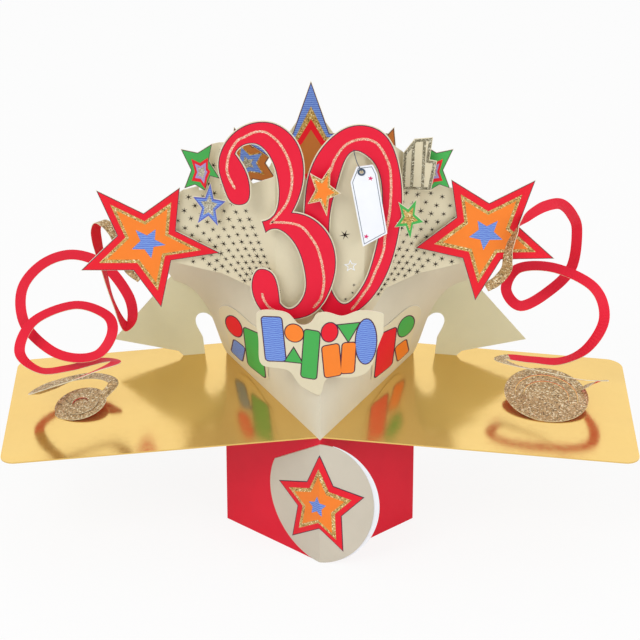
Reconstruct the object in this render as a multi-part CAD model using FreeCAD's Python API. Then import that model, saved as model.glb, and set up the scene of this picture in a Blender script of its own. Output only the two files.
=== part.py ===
import FreeCAD, Part
import math
import os

# A three-dimensional pop-up greeting card, standing open.
# A folded card plinth carries a mirror-foil board whose two arms droop a little from the middle fold.
# On the board stand a V-shaped wall, two side flanges and a rear support.
# They carry the folded backdrop, the numerals 3 and 0, the band, the stars and the paper spirals.
# Millimetres, +Z up, +X to the card's right as a reader sees it, +Y away from the reader.
# The sizes below count Y from the foot of the wall's crease, and the finished pieces are moved
# so that the origin is the middle of the whole card's footprint, at the height the plinth stands on.

# Plinth
plinth_height = 80.0
plinth_half_width = 53.0
plinth_half_depth = 48.0
plinth_card = 0.6
plinth_front = 5.0

# Foil board
board_arm = 176.0
board_depth = 122.0
board_front = 3.5
board_card = 0.8
board_droop = 5.5
board_corner = 9.0

# Printed sheets
sheet = 0.5
glue_gap = 0.1

# Round seal on the plinth's front fold
seal_gap = 4.8
seal_radius = (plinth_height - seal_gap) / 2
seal_right_share = 0.79
seal_backing_share = 0.88
seal_left_turn = math.degrees(math.atan2(plinth_half_depth, plinth_half_width))
seal_right_turn = -8.0
seal_clip_drop = 32.0
seal_backing_inset = 7.0

# V-shaped wall: where it stands on the board and how it opens towards its top
wall_base_half = 54.0
wall_back = 113.5
wall_rise = 61.0
wall_top_half = 96.0
crease_back = 50.0

# Band: how high its lowest point meets the wall's crease, and its half width
band_tip_rise = 19.8
band_half = 34.5

# Depths of the upright layers, front face
band_front = crease_back * band_tip_rise / wall_rise - 2 * sheet - glue_gap
band_side_front = band_front + 8.0
tag_front = 25.0
small_star_front = 24.5
three_front = 26.4
zero_front = 29.2
backdrop_front = 32.0
plate_front = 41.0
green_star_front = zero_front - sheet - 0.5
blue_star_front = 43.5
leaf_star_front = 45.5
wing_fold_front = 50.0
wing_front = 51.0
big_star_front = 47.3
flange_front = wall_back + sheet
support_front = 106.0

# Stars: reach of the tips, reach of the notches and angle of the first tip
rear_reach = 23.0
rear_notch = 10.5
crown_reach = 45.5
crown_notch = 17.5
green_reach = 12.8
green_notch = 5.4
green_squeeze = 0.65
orange_reach = 15.2
orange_notch = 6.6
orange_squeeze = 0.62
blue_reach = 14.2
blue_notch = 6.0
blue_squeeze = 0.68

# Spirals of ribbon, cut from round discs
ribbon_width = 6.0
ribbon_card = 0.4
ribbon_steps = 3
left_foot_radius = 9.5
left_disc_radius = 15.0
right_disc_radius = 24.0
right_foot_radius = 10.0
slit_width = 0.7

# Tag
tag_eyelet_radius = 1.1

droop = math.radians(board_droop)
deck_level = plinth_height + board_card / math.cos(droop)
far = 400.0


def deck_top(x):
    """Height of the board's upper face at sideways place x."""
    return deck_level - abs(x) * math.tan(droop)


def vec(x, y, z):
    return FreeCAD.Vector(x, y, z)


def up(rise):
    """Height above the floor of a rise above the board's middle fold."""
    return deck_level + rise


def closed(points):
    """Straight-sided wire through the points, in the upright plane y = 0."""
    corners = [vec(x, 0, z) for x, z in points]
    return Part.makePolygon(corners + corners[:1])


def curved(points):
    """Smooth closed wire through the points, in the upright plane y = 0."""
    curve = Part.BSplineCurve()
    curve.interpolate([vec(x, 0, z) for x, z in points], PeriodicFlag=True)
    return Part.Wire(curve.toShape())


def arcs(runs):
    """Closed wire of open smooth runs, each a list of points that starts where the last ended."""
    edges = []
    for run in runs:
        places = [vec(x, 0, z) for x, z in run]
        if len(places) == 2:
            edges.append(Part.makeLine(places[0], places[1]))
        else:
            curve = Part.BSplineCurve()
            curve.interpolate(places)
            edges.append(curve.toShape())
    return Part.Wire(edges)


def lifted(points):
    return [(x, up(rise)) for x, rise in points]


def plate(wire, front, card=sheet):
    """Flat upright sheet of the wire's outline, with its front face at depth front."""
    face = Part.Face(wire)
    face.translate(vec(0, front, 0))
    return face.extrude(vec(0, card, 0))


def star_points(cx, cz, reach, notch, first, squeeze):
    points = []
    for k in range(10):
        angle = math.radians(first + 36 * k)
        radius = reach if k % 2 == 0 else notch
        points.append((cx + squeeze * radius * math.cos(angle), cz + radius * math.sin(angle)))
    return points


def star(cx, rise, reach, notch, first, front, squeeze=1.0):
    """Five-armed star; squeeze below 1 makes it narrower than it is tall."""
    return plate(closed(star_points(cx, up(rise), reach, notch, first, squeeze)), front)


big_left_outline = [(-75.5, 129.4), (-95.6, 114.0), (-120.9, 127.7), (-110.3, 100.6), (-130.7, 79.6),
                    (-102.0, 79.6), (-87.2, 56.7), (-81.1, 85.6), (-54.1, 90.2), (-78.2, 103.5)]
big_right_outline = [(116.2, 133.7), (91.5, 120.1), (70.6, 134.1), (73.9, 111.6), (51.9, 93.3),
                     (77.8, 86.9), (85.2, 61.0), (98.8, 86.2), (127.9, 86.7), (107.6, 106.3)]
leaf_outline = [(-74.6, 152.7), (-65.5, 150.6), (-57.6, 155.9), (-59.5, 145.8), (-53.5, 135.1),
                (-58.9, 136.7), (-62.0, 128.1), (-67.3, 131.7), (-73.2, 129.5), (-69.3, 140.4)]
leaf_right_shift = -3.1


def make_leaf(side):
    """Uneven five-armed star on a wing; the right one is the left one turned over."""
    shift = leaf_right_shift if side > 0 else 0.0
    points = [(side * -x + shift, rise) for x, rise in leaf_outline]
    return plate(closed(lifted(points)), leaf_star_front)


def prism(wire):
    """The outline's shape through the whole depth, for cutting folded sheets."""
    face = Part.Face(wire)
    face.translate(vec(0, -far, 0))
    return face.extrude(vec(0, 2 * far, 0))


def folded(plan, wire, card=sheet):
    """Upright sheet folded along plan, a list of (x, y), and cut to the wire's outline."""
    front_line = [vec(x, y, 0) for x, y in plan]
    back_line = [vec(x, y + card, 0) for x, y in reversed(plan)]
    corners = front_line + back_line
    slab = Part.Face(Part.makePolygon(corners + corners[:1]))
    return slab.extrude(vec(0, 0, far)).common(prism(wire))


def one_solid(shape):
    """The shape's only solid, refined."""
    solids = shape.removeSplitter().Solids
    if len(solids) != 1:
        print("solids expected 1, found", len(solids))
    return solids[0]


def make_plinth():
    """One strip of card folded into a square tube, corner to the reader, under the board."""
    outer = [(0, 0), (plinth_half_width, plinth_half_depth), (0, 2 * plinth_half_depth),
             (-plinth_half_width, plinth_half_depth)]
    skin = plinth_card * math.hypot(plinth_half_width, plinth_half_depth)
    inset_x = skin / plinth_half_depth
    inset_y = skin / plinth_half_width
    inner = [(0, inset_y), (plinth_half_width - inset_x, plinth_half_depth),
             (0, 2 * plinth_half_depth - inset_y), (-plinth_half_width + inset_x, plinth_half_depth)]

    def column(corners):
        places = [vec(x, y, 0) for x, y in corners]
        return Part.Face(Part.makePolygon(places + places[:1])).extrude(vec(0, 0, plinth_height))

    tube = column(outer).cut(column(inner))
    tube.translate(vec(0, plinth_front, 0))
    drop = far * math.tan(droop)
    under_board = [(0, plinth_height), (far, plinth_height - drop), (far, -far), (-far, -far),
                   (-far, plinth_height - drop)]
    return one_solid(tube.common(prism(closed(under_board))))


def make_board():
    """Foil board: one sheet with a fold down its middle and rounded outer corners."""
    drop = board_arm * math.tan(droop)
    card = board_card / math.cos(droop)
    section = [(0, plinth_height), (board_arm, plinth_height - drop),
               (board_arm, plinth_height - drop + card), (0, plinth_height + card),
               (-board_arm, plinth_height - drop + card), (-board_arm, plinth_height - drop)]
    face = Part.Face(closed(section))
    face.translate(vec(0, board_front, 0))
    board = face.extrude(vec(0, board_depth, 0))
    blank = Part.makeBox(2 * board_arm, board_depth, 2 * far, vec(-board_arm, board_front, -far))
    corners = [edge for edge in blank.Edges if edge.Length > far]
    return one_solid(board.common(blank.makeFillet(board_corner, corners)))


def half_ellipse(half_width):
    """Half outline of the seal as seen from the front, from its top round to its foot."""
    centre = vec(0, 0, seal_radius)
    outline = Part.Ellipse(centre + vec(0, 0, seal_radius), centre + vec(half_width, 0, 0), centre)
    return Part.ArcOfEllipse(outline, 0, math.pi).toShape()


def make_seal():
    """Round card folded at its middle: its left half lies on the plinth, its right stands off."""
    left = math.radians(seal_left_turn)
    right = math.radians(seal_right_turn)
    left_way = vec(-math.cos(left), math.sin(left), 0)
    left_out = vec(-math.sin(left), -math.cos(left), 0)
    right_way = vec(math.cos(right), math.sin(right), 0)
    right_out = vec(math.sin(right), -math.cos(right), 0)
    mitre = left_out + right_out
    mitre = mitre * (sheet / mitre.dot(left_out))
    reach = seal_radius + 5
    corners = [left_way * reach, vec(0, 0, 0), right_way * reach, right_way * reach + right_out * sheet, mitre,
               left_way * reach + left_out * sheet]
    slab = Part.Face(Part.makePolygon(corners + corners[:1])).extrude(vec(0, 0, far))
    right_half = seal_radius * seal_right_share
    outline = Part.Wire([half_ellipse(-seal_radius * math.cos(left)), half_ellipse(right_half)])
    clip = [(-seal_radius, 2 * seal_radius - seal_clip_drop), (0, 2 * seal_radius), (0, far), (-far, far)]
    seal = one_solid(slab.common(prism(outline)).cut(prism(closed(clip))))
    seal.translate(vec(0, plinth_front, 0))
    return seal


def make_seal_backing():
    """Second white half-disc glued behind the seal's free half, showing as a crescent."""
    straight = Part.makeLine(vec(0, 0, 2 * seal_radius), vec(0, 0, 0))
    body = plate(Part.Wire([half_ellipse(seal_radius * seal_backing_share), straight]), 0)
    body = body.common(Part.makeBox(far, far, far, vec(seal_backing_inset, -far / 2, -far / 2)))
    body.rotate(vec(0, 0, 0), vec(0, 0, 1), seal_right_turn)
    body.translate(vec(0, plinth_front, 0))
    return one_solid(body)


def wall_patch(side, lead):
    """Ruled face of one side of the wall, lead millimetres nearer the reader than its back."""
    foot = vec(0, -lead, deck_level)
    crease_top = vec(0, crease_back - lead, up(wall_rise))
    heel = vec(side * wall_base_half, wall_back - lead, deck_top(wall_base_half))
    outer_top = vec(side * wall_top_half, wall_back - lead, up(wall_rise))
    face = Part.makeRuledSurface(Part.makeLine(foot, crease_top), Part.makeLine(heel, outer_top))
    return face


wall_edge = [(54.0, -5.2), (55.5, 0.0), (59.8, 19.1), (65.2, 33.0), (74.4, 41.4), (84.0, 41.0), (92.0, 36.0)]


def wall_outline():
    """Half outline of the wall: deck line, curved outer edge and straight top."""
    base = [(-1.0, up(1.0)), (-1.0, deck_level - 30), (wall_base_half, deck_level - 30),
            (wall_base_half, up(wall_edge[0][1]))]
    rim = lifted(wall_edge)
    edges = [base[:2], base[1:3], base[2:4], rim, [rim[-1], (rim[-1][0], up(wall_rise + 5))],
             [(rim[-1][0], up(wall_rise + 5)), (-1.0, up(wall_rise + 5))],
             [(-1.0, up(wall_rise + 5)), base[0]]]
    return arcs(edges)


def make_wall():
    """V-shaped wall of one creased sheet, its crease to the reader, leaning back."""
    right = wall_patch(1, 0).extrude(vec(0, -sheet, 0)).common(prism(wall_outline()))
    left = right.mirror(vec(0, 0, 0), vec(1, 0, 0))
    return one_solid(right.fuse(left))


end_outline = [(28.6, 8.6), (29.4, 27.0), (32.5, 34.0), (38.0, 35.5), (45.0, 38.6), (53.5, 39.5),
               (57.0, 35.0), (54.5, 24.0), (51.5, 10.0), (47.8, 0.5), (42.0, -1.4), (35.0, 1.6)]


def make_band_end(side):
    """Die-cut end of the band, glued flat on one side of the wall."""
    skin = wall_patch(1, sheet + 3 * glue_gap).extrude(vec(0, -sheet, 0))
    end = one_solid(skin.common(prism(curved(lifted(end_outline)))))
    if side > 0:
        return end
    return end.mirror(vec(0, 0, 0), vec(1, 0, 0))


def make_band():
    """Middle of the band: a shallow V whose lowest point is glued to the wall's crease."""
    top = [(33.0, 66.0), (27.0, 68.0), (20.0, 68.5), (12.0, 66.5), (4.5, 69.5), (-1.0, 69.5), (-5.0, 63.5),
           (-11.0, 61.5), (-16.0, 66.5), (-25.0, 68.5), (-33.0, 67.0)]
    bottom = [(-33.5, 50.0), (-31.0, 34.0), (-16.5, 32.0), (-11.5, 25.0), (-7.0, 22.0), (0.0, band_tip_rise),
              (2.5, 27.5), (17.5, 28.3), (26.0, 31.0), (31.0, 44.0)]
    outline = curved(lifted(top + bottom))
    plan = [(-band_half, band_side_front), (0, band_front), (band_half, band_side_front)]
    return one_solid(folded(plan, outline))


flange_outline = [(119.0, 3.0), (82.0, -4.6), (79.0, None), (66.6, None), (67.6, 4.0), (71.2, 12.3),
                  (71.6, 16.0), (70.0, 19.2), (66.0, 20.0), (62.4, 17.5), (58.0, 12.0), (57.0, 20.0),
                  (62.0, 45.0), (84.0, 45.0)]


def make_flange(side):
    """Side flange: glued behind the wall's outer edge, standing on the board by its leg."""
    points = []
    for x, rise in flange_outline:
        height = deck_top(x) if rise is None else up(rise)
        points.append((x, height))
    runs = [points[0:2], points[1:3], points[2:4], points[3:5], points[4:11], points[10:12],
            points[11:13], points[12:14], [points[13], points[0]]]
    flange = plate(arcs(runs), flange_front)
    if side > 0:
        return flange
    return flange.mirror(vec(0, 0, 0), vec(1, 0, 0))


backdrop_plan = [(0, backdrop_front), (24, backdrop_front), (54, wing_fold_front), (94, wing_front)]


def backdrop_depth(x):
    """Depth of the backdrop's front face at sideways place x."""
    reach = abs(x)
    for (x0, y0), (x1, y1) in zip(backdrop_plan, backdrop_plan[1:]):
        if reach <= x1:
            return y0 + (y1 - y0) * (reach - x0) / (x1 - x0)
    return backdrop_plan[-1][1]


def backdrop_foot():
    """Rise at which the backdrop's back face meets the wall's leaning crease."""
    return wall_rise * (backdrop_front + sheet + sheet) / crease_back


def make_backdrop():
    """Folded backdrop: a flat middle behind the numerals and two printed wings that turn back."""
    foot = backdrop_foot()
    right = [(0, foot), (20, foot + 8), (36, 72.9), (60, 78.0), (80, 83.2), (92, 86.0), (93, 115.0),
             (86, 120.5), (79.5, 125.0), (72, 127.5), (65, 129.0), (62, 134.0), (57, 138.0), (50, 143.0), (44, 152.0),
             (36, 160.0), (24, 166.0), (12, 165.0), (4, 142.0), (0, 128.0)]
    left = [(-5, 128.0), (-12, 162.0), (-20, 160.0), (-25, 141.8), (-36, 135.2), (-45, 147.0),
            (-50.5, 155.5), (-58.5, 153.5), (-62, 134.0), (-65, 129.0), (-74, 126.5), (-86, 118.0),
            (-93, 112.5), (-92, 86.0), (-80, 83.2), (-60, 78.0), (-36, 72.9), (-20, foot + 8)]
    plan = [(-x, y) for x, y in reversed(backdrop_plan[1:])] + backdrop_plan
    return one_solid(folded(plan, closed(lifted(right + left))))


three_outer = [(-30.5, 177.2), (-41.5, 174.0), (-50.4, 165.0), (-54.4, 152.0), (-51.4, 137.5), (-45.8, 128.4),
               (-39.0, 129.2), (-36.6, 137.5), (-38.8, 148.5), (-44.2, 158.4)]
three_inner_top = [(-44.2, 158.4), (-40.0, 162.8), (-34.6, 163.6), (-28.0, 158.0), (-23.4, 145.5),
                   (-22.6, 132.5), (-25.6, 122.6), (-31.8, 119.4)]
three_flag = [(-31.8, 119.4), (-29.4, 111.0)]
three_inner_low = [(-29.4, 111.0), (-23.0, 113.8), (-17.0, 109.5), (-11.4, 99.5), (-8.6, 87.0), (-10.0, 73.5),
                   (-16.0, 67.2), (-21.2, 70.6)]
three_hook = [(-21.2, 70.6), (-22.6, 82.0), (-27.4, 90.2), (-33.2, 91.0), (-37.3, 83.5), (-36.6, 74.0),
              (-30.4, 63.4), (-16.0, 59.6), (-3.4, 63.6), (6.0, 78.0), (9.0, 97.0), (4.6, 112.0), (-4.6, 121.5),
              (-14.0, 124.6)]
three_waist = [(-14.0, 124.6), (-9.4, 137.0), (-8.2, 152.5), (-12.6, 166.5), (-21.0, 174.8), (-30.5, 177.2)]


def make_three():
    """Numeral 3, die-cut with a narrow pale margin."""
    runs = [three_outer, three_inner_top, three_flag, three_inner_low, three_hook, three_waist]
    return plate(arcs([lifted(run) for run in runs]), three_front)


zero_outer = [(23.2, 174.0), (34.5, 168.6), (42.0, 152.0), (44.4, 132.8), (42.4, 108.0), (36.6, 86.0),
              (27.0, 69.4), (16.0, 61.0), (5.0, 60.6), (-4.4, 77.0), (-8.6, 106.0), (-8.6, 131.0),
              (-4.2, 152.0), (7.0, 168.0)]
zero_inner = [(21.2, 157.6), (28.8, 150.4), (32.5, 135.2), (31.4, 113.0), (27.0, 91.5), (20.6, 76.0),
              (12.8, 68.9), (7.2, 76.0), (5.4, 96.0), (5.8, 119.2), (10.6, 142.6)]


def make_zero():
    """Numeral 0, a ring behind the 3."""
    ring = plate(curved(lifted(zero_outer)), zero_front)
    return one_solid(ring.cut(plate(curved(lifted(zero_inner)), zero_front - 1, sheet + 2)))


def make_plate():
    """Small glittered plate beside the numerals."""
    points = [(43.6, 130.8), (59.6, 130.4), (62.6, 147.6), (58.6, 148.4), (60.2, 161.4), (50.4, 160.6),
              (44.4, 152.2)]
    return plate(closed(lifted(points)), plate_front)


def make_tag():
    """Gift tag with clipped upper corners and a round eyelet."""
    points = [(19.4, 151.4), (28.0, 152.6), (30.4, 147.4), (36.0, 112.4), (23.0, 104.6), (16.2, 142.4)]
    hole = Part.makeCircle(tag_eyelet_radius, vec(22.0, 0, up(148.4)), vec(0, 1, 0))
    tag = plate(closed(lifted(points)), tag_front)
    return one_solid(tag.cut(plate(Part.Wire(hole), tag_front - 1, sheet + 2)))


def make_support():
    """Rear support: a tapered sheet standing on the board behind the wall, for the rear stars."""
    half_foot = 24.0
    upper = [(30, 112), (10, 132), (-0.5, 148), (-9.5, 148), (-20, 132), (-30, 112)]
    base = [(-half_foot, deck_top(half_foot)), (0, deck_top(0)), (half_foot, deck_top(half_foot))]
    return plate(closed(base + lifted(upper)), support_front)


def pad_block(x, rise, half, front, back_left, back_right=None):
    """Foam pad between a piece's back face and what carries it, which may slope."""
    if back_right is None:
        back_right = back_left
    corners = [vec(x - half, front, 0), vec(x + half, front, 0), vec(x + half, back_right, 0),
               vec(x - half, back_left, 0)]
    block = Part.Face(Part.makePolygon(corners + corners[:1])).extrude(vec(0, 0, 2 * half))
    block.translate(vec(0, 0, up(rise) - half))
    return block


def backdrop_pad(x, rise, half, piece_front):
    return pad_block(x, rise, half, piece_front + sheet, backdrop_depth(x - half), backdrop_depth(x + half))


def make_pads():
    """Foam pads that space the layers; each tells its place, half size and the piece it carries."""
    on_backdrop = [(-16.0, 155.0, 2.2, three_front), (-15.5, 137.0, 2.2, three_front),
                   (-20.0, 117.0, 2.2, three_front), (-13.0, 62.9, 1.4, three_front),
                   (14.0, 161.5, 2.2, zero_front), (-2.0, 112.0, 2.2, zero_front),
                   (14.0, 65.0, 1.6, zero_front), (-60.0, 120.6, 1.6, blue_star_front),
                   (-64.0, 129.6, 1.2, leaf_star_front), (60.4, 131.6, 1.2, leaf_star_front),
                   (48.5, 135.0, 1.8, plate_front), (-88.0, 98.0, 2.4, big_star_front),
                   (88.0, 103.0, 2.4, big_star_front)]
    pads = [backdrop_pad(x, rise, half, front) for x, rise, half, front in on_backdrop]
    on_zero = [(1.5, 92.0, 2.0, three_front), (1.2, 137.4, 1.8, small_star_front),
               (33.4, 117.5, 1.4, tag_front), (42.2, 116.2, 1.0, green_star_front)]
    for x, rise, half, front in on_zero:
        pads.append(pad_block(x, rise, half, front + sheet, zero_front))
    return Part.makeCompound(pads)


def facing(tilt, turn):
    """Direction that a ribbon faces: tilt from straight up, then turned about the upright."""
    a = math.radians(tilt)
    b = math.radians(turn)
    return vec(math.sin(a) * math.sin(b), -math.sin(a) * math.cos(b), math.cos(a))


def ribbon(route):
    """Flat paper ribbon along a route of (x, y, rise, tilt, turn) points."""
    line = Part.BSplineCurve()
    line.interpolate([vec(x, y, up(rise)) for x, y, rise, tilt, turn in route])
    knots = line.getKnots()
    sections = []
    for k in range((len(route) - 1) * ribbon_steps + 1):
        i = min(k // ribbon_steps, len(route) - 2)
        share = (k - i * ribbon_steps) / ribbon_steps
        at = knots[i] + (knots[i + 1] - knots[i]) * share
        place = line.value(at)
        along = line.tangent(at)[0]
        ease = share * share * (3 - 2 * share)
        first = facing(route[i][3], route[i][4])
        last = facing(route[i + 1][3], route[i + 1][4])
        across = along.cross(first * (1 - ease) + last * ease)
        across.normalize()
        out = across.cross(along)
        out.normalize()
        half = across * (ribbon_width / 2)
        skin = out * (ribbon_card / 2)
        corners = [place + half + skin, place + half - skin, place - half - skin, place - half + skin]
        sections.append(Part.makePolygon(corners + corners[:1]))
    return Part.makeLoft(sections, True, True)


def seated(disc, cx, cy, rise, tilt, turn):
    """Paper disc made at the origin, tilted, turned and moved to its place."""
    disc.rotate(vec(0, 0, 0), vec(1, 0, 0), tilt)
    disc.rotate(vec(0, 0, 0), vec(0, 0, 1), turn)
    disc.translate(vec(cx, cy, up(rise)))
    return disc


def glued_foot(cx, cy, radius):
    """Paper disc glued flat on one arm of the board."""
    foot = Part.makeCylinder(radius, ribbon_card)
    foot.rotate(vec(0, 0, 0), vec(0, 1, 0), math.copysign(board_droop, cx))
    foot.translate(vec(cx, cy, deck_top(cx)))
    return foot


left_route = [
    (-124, 61, -7.7, 12, -40), (-117, 70, -1.5, 8, 0), (-131, 82, -4, 4, 0), (-152, 74, -5, -8, 0),
    (-161, 58, -3, -20, 0), (-146, 41, 11, -27, 0), (-126, 45, 18, -27, 0), (-114, 55, 19, -12, 0),
    (-124, 64, 15, 4, 0), (-141, 57, 14, 8, 0), (-156, 49, 17, 12, 0), (-167, 52, 27, 18, 0),
    (-160, 68, 38, 22, 0), (-138, 80, 42, 22, 0), (-120, 74, 39, 24, 0), (-116, 64, 33, 26, 0),
    (-123, 56, 24, 28, 0), (-137, 58, 20, 30, 0), (-152, 65, 22, 32, 0), (-166, 75, 33, 34, 0),
    (-168, 90, 47, 36, 0), (-157, 102, 57, 38, 0), (-140, 106, 61, 42, 0), (-122, 102, 56, 46, 0),
    (-109, 94, 42, 60, 10), (-106, 86, 32, 75, 20), (-110, 80, 29, 90, 70), (-116, 77, 46, 90, 90),
    (-120, 74, 66, 90, 75), (-122, 70, 80, 90, 45), (-123, 66, 90, 95, 30), (-123, 63, 97, 115, 30),
    (-121, 60, 103, 165, 30), (-117, 57, 103, 215, 30), (-113, 54, 100, 245, 30), (-110, 51.5, 95, 262, 20),
    (-107, 50, 86, 270, 10), (-104, 49.4, 79, 270, 0), (-98, 48.9, 74, 270, 0)]

right_route = [
    (149, 75, -8.15, 12, 30), (158, 68, 0, -10, 0), (158, 59, 5, -24, 0), (145, 54, 8.5, -27, 0),
    (127, 56, 12, -27, 0), (110, 60, 14, -24, 0), (101, 68, 14, -10, 0), (107, 76, 11, 4, 0),
    (120, 73, 11, 10, 0), (136, 67, 13.5, 20, 0), (150, 60, 26, 34, 0), (158, 60, 44, 44, 0),
    (152, 66, 60, 42, 0), (131, 74, 68, 36, 0), (111, 80, 65, 38, 0), (104, 76, 54, 46, 0),
    (112, 70, 46.5, 50, 0), (128, 79, 51, 52, 0), (141, 87, 62, 60, 0), (143, 84, 86, 70, 0),
    (139, 76, 100, 68, 0), (132, 68, 110, 66, 0), (123, 58, 113.4, 66, 20), (115, 50, 112.7, 76, 50),
    (109, 45, 109.3, 86, 80), (106, 43.4, 103.6, 90, 100), (103, 43.4, 95.8, 90, 120),
    (102.2, 43.6, 88.5, 90, 145), (102, 45.4, 82, 90, 165), (100, 48.2, 76.5, 90, 175),
    (96, 49, 71.5, 90, 180), (91, 49, 68.6, 90, 180)]

left_foot = (-140.0, 57.0)
left_disc = (-135.0, 60.0, -10.4, 14.0, -60.0)
right_disc = (128.0, 66.0, -7.8, 12.0, 30.0)
right_foot = (125.0, 53.0)
slits = [(17.5, 70, 130), (12.5, 20, 140)]


def make_left_spiral():
    """Spiral-cut disc pulled up: foot on the board, a tilted inner turn and the rising ribbon."""
    inner = seated(Part.makeCylinder(left_disc_radius, ribbon_card), *left_disc)
    foot = glued_foot(*left_foot, left_foot_radius)
    return one_solid(ribbon(left_route).fuse(inner).fuse(foot))


def make_right_spiral():
    """Spiral-cut disc with its inner turns still flat, tilted to the reader, and the ribbon."""
    inner = Part.makeCylinder(right_disc_radius, ribbon_card)
    for radius, start, sweep in slits:
        outer = Part.makeCylinder(radius + slit_width / 2, ribbon_card, vec(0, 0, 0), vec(0, 0, 1), sweep)
        core = Part.makeCylinder(radius - slit_width / 2, ribbon_card, vec(0, 0, 0), vec(0, 0, 1), sweep)
        slit = outer.cut(core)
        slit.rotate(vec(0, 0, 0), vec(0, 0, 1), start)
        inner = inner.cut(slit)
    inner = seated(inner, *right_disc)
    foot = glued_foot(*right_foot, right_foot_radius)
    return one_solid(ribbon(right_route).fuse(inner).fuse(foot))


def make_all():
    return {
        "plinth": make_plinth(),
        "foil_board": make_board(),
        "seal": make_seal(),
        "seal_backing": make_seal_backing(),
        "bowl_wall": make_wall(),
        "band_end_left": make_band_end(-1),
        "band_end_right": make_band_end(1),
        "band_middle": make_band(),
        "side_flange_left": make_flange(-1),
        "side_flange_right": make_flange(1),
        "backdrop": make_backdrop(),
        "numeral_three": make_three(),
        "numeral_zero": make_zero(),
        "gift_tag": make_tag(),
        "glitter_plate": make_plate(),
        "rear_support": make_support(),
        "foam_pads": make_pads(),
        "spiral_left": make_left_spiral(),
        "spiral_right": make_right_spiral(),
        "big_star_left": plate(closed(lifted(big_left_outline)), big_star_front),
        "big_star_right": plate(closed(lifted(big_right_outline)), big_star_front),
        "orange_star": star(1.7, 137.6, orange_reach, orange_notch, 66.0, small_star_front, orange_squeeze),
        "blue_star": star(-59.9, 120.0, blue_reach, blue_notch, 84.0, blue_star_front, blue_squeeze),
        "green_star_right": star(47.5, 120.0, green_reach, green_notch, 61.0, green_star_front, green_squeeze),
        "leaf_star_left": make_leaf(-1),
        "leaf_star_right": make_leaf(1),
        "rear_star_left": star(-40.7, 117.9, rear_reach, rear_notch, 108.0, support_front - sheet),
        "rear_star_right": star(34.1, 117.9, rear_reach, rear_notch, 72.0, support_front - sheet),
        "crown_star": star(-5.0, 122.1, crown_reach, crown_notch, 90.0, support_front - 2 * sheet),
    }


seal_turn = math.radians(seal_right_turn)
seal_reach = seal_radius * seal_right_share * math.tan(seal_turn)
seal_front = plinth_front + seal_reach - sheet * math.cos(seal_turn)
board_back = board_front + board_depth
footprint_middle = (min(seal_front, -sheet) + board_back) / 2

os.makedirs("parts", exist_ok=True)
for name, shape in make_all().items():
    shape.translate(vec(0, -footprint_middle, 0))
    shape.exportStep("parts/" + name + ".step")
    print(name, "solids", len(shape.Solids), "valid", shape.isValid(), "volume", round(shape.Volume, 1))
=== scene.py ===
import bpy
import bmesh
import math
import random
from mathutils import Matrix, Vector
from mathutils.geometry import tessellate_polygon


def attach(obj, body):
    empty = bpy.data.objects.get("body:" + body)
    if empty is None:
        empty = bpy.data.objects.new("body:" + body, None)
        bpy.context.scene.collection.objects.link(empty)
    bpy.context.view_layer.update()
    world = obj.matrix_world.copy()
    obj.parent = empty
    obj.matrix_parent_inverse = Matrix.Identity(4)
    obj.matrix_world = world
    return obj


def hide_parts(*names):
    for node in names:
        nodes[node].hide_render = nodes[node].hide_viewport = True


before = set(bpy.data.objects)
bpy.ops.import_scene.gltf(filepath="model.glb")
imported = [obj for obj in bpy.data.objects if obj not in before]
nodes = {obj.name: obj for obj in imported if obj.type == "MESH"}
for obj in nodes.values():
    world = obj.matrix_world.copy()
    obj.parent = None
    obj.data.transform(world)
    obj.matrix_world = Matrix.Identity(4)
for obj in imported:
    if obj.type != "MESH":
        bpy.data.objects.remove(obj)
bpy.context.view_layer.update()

# Sizes are in millimetres, counted from the foot of the wall's crease as in the part's source,
# and turned to metres in the part's own frame by place(). Angles are in degrees, but TILT is in radians.
# MIDDLE is the depth of the part's middle, DECK the height of the board's upper face at its fold, and
# DROOP how far the board's arms hang.
MIDDLE = 62.5
DECK = 80.804
DROOP = 5.5
SHEET = 0.5
RIBBON_WIDTH = 6.0
RIBBON_CARD = 0.4
RIBBON_STEPS = 10

# Thickness of one printed layer, and the air under it on folded sheets and on the leaning wall
SKIN = 0.06
FOLD_AIR = 0.02
WALL_AIR = 0.08

# Depths of the front faces of the flat upright sheets
TAG = 25.0
SMALL_STAR = 24.5
THREE = 26.4
GREEN_STAR = 28.2
ZERO = 29.2
PLATE = 41.0
BLUE_STAR = 43.5
LEAF_STAR = 45.5
BIG_STAR = 47.3
CROWN = 105.0
REAR = 105.5

# Folded sheets: plans as (sideways, depth), the band's middle, the plinth and the seal on it
BACKDROP_FOLD = 24
BACKDROP_PLAN = [(0, 32.0), (BACKDROP_FOLD, 32.0), (54, 50.0), (94, 51.0)]
BAND_FRONT = 15.13
BAND_HALF = 34.5
BAND_SIDE = 23.13
PLINTH_FRONT = 5.0
PLINTH_HALF_WIDTH = 53.0
PLINTH_HALF_DEPTH = 48.0
SEAL_RIGHT_TURN = -8.0
SEAL_ROUNDING = 0.8

# The V-shaped wall, and how far the band's ends stand in front of it
WALL_HALF_FOOT = 54.0
WALL_HALF_TOP = 96.0
WALL_RISE = 61.0
WALL_LEAN = 50.0
WALL_BACK = 113.5
END_LEAD = 1.3

# The camera: half the picture's side and the focal length, both in picture points, then its distance and
# its rise, square to the picture plane and along it, from a point RAISED over the part's foot
PICTURE_HALF = 320
FOCAL = 3000
AXIS_LENGTH = 1667
AXIS_RISE = 131.1
RAISED = 7.0
TILT = math.radians(26.9)
SENSOR = 36
random.seed(7)


def place(x, y, z):
    return Vector((x, y - MIDDLE, z)) * 0.001


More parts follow.
